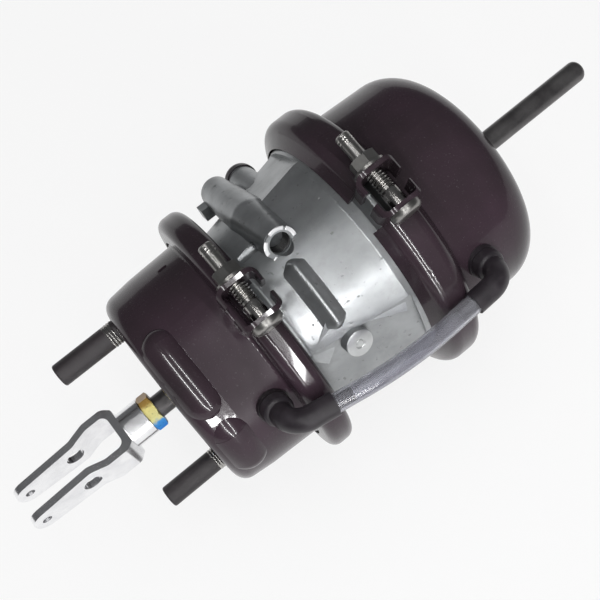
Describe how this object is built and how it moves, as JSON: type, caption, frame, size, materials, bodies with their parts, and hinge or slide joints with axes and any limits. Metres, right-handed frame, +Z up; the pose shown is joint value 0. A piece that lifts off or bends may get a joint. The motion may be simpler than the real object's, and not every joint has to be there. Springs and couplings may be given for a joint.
{
  "type": "spring brake chamber",
  "caption": "Piggyback spring brake chamber: a diaphragm service chamber, cast flange case and spring housing held by two clamp rings, with a clevis pushrod and release bolt.",
  "frame": {"origin": "centre of the mounting face, on the pushrod's axis, midway between the two mounting studs", "axes": "+X along the chamber axis from the mounting face toward the spring housing (the pushrod strokes toward -X), Y along the clevis pin, +Z up"},
  "size_m": [0.4965, 0.2107, 0.2502],
  "materials": {
    "black_paint": "gloss black enamel on pressed steel",
    "black_stud": "satin black coated steel",
    "zinc_steel": "zinc plated",
    "black_rubber": "moulded rubber",
    "blue_rubber": "moulded blue seal",
    "dark_steel": "dark phosphated steel",
    "spring_steel": "oiled spring steel",
    "spring_paint": "epoxy coated spring",
    "diaphragm_rubber": "fabric reinforced rubber",
    "bright_steel": "bright zinc plated",
    "yellow_zinc": "yellow zinc plated",
    "cast_aluminium": "as-cast satin",
    "black_plastic": "moulded plastic",
    "bush_nylon": "moulded nylon",
    "clear_tube": "clear flexible plastic tube"
  },
  "bodies": {
    "chamber": {"front_housing": "black_paint", "spring_housing": "black_paint", "front_clamp_upper_half": "black_paint", "front_clamp_lower_half": "black_paint", "rear_clamp_upper_half": "black_paint", "rear_clamp_lower_half": "black_paint", "mounting_studs": "black_stud", "front_clamp_bolts": "zinc_steel", "front_clamp_nuts": "zinc_steel", "front_clamp_washers": "zinc_steel", "rear_clamp_bolts": "zinc_steel", "rear_clamp_nuts": "zinc_steel", "rear_clamp_washers": "zinc_steel", "dust_seal": "black_rubber", "service_return_spring": "spring_steel", "service_diaphragm": "diaphragm_rubber", "flange_case": "cast_aluminium", "port_plug": "black_plastic", "hub_bush": "bush_nylon", "hub_seals": "black_rubber", "parking_return_spring": "spring_steel", "parking_diaphragm": "diaphragm_rubber", "power_spring": "spring_paint", "release_washer": "zinc_steel", "breather_tube": "clear_tube", "breather_elbow_front": "black_rubber", "breather_elbow_rear": "black_rubber", "elbow_grommet_front": "blue_rubber", "elbow_grommet_rear": "black_rubber"},
    "parking_piston": {"pressure_plate": "cast_aluminium", "parking_pushrod": "dark_steel", "parking_foot": "dark_steel", "release_bolt": "dark_steel"},
    "service_piston": {"push_plate": "dark_steel", "service_pushrod": "dark_steel", "clevis": "bright_steel", "jam_nut": "yellow_zinc"},
    "release_nut": {"release_nut": "zinc_steel"}
  },
  "joints": [
    {"name": "parking_stroke", "type": "slide", "parent": "chamber", "child": "parking_piston", "axis": [-1, 0, 0], "range_m": [0, 0.057], "stiffness_N_per_m": 900, "springref_m": -0.06, "deforming": ["power_spring", "parking_return_spring", "parking_diaphragm"]},
    {"name": "service_stroke", "type": "slide", "parent": "chamber", "child": "service_piston", "axis": [-1, 0, 0], "range_m": [0, 0.057], "stiffness_N_per_m": 900, "springref_m": -0.06, "deforming": ["service_return_spring", "service_diaphragm"]},
    {"name": "release_nut_spin", "type": "hinge", "parent": "chamber", "child": "release_nut", "pos_m": [0.263, 0, 0], "axis": [1, 0, 0], "continuous": true}
  ],
  "couplings": [
    {"joint": "service_stroke", "follows": "parking_stroke", "ratio": 1}
  ]
}
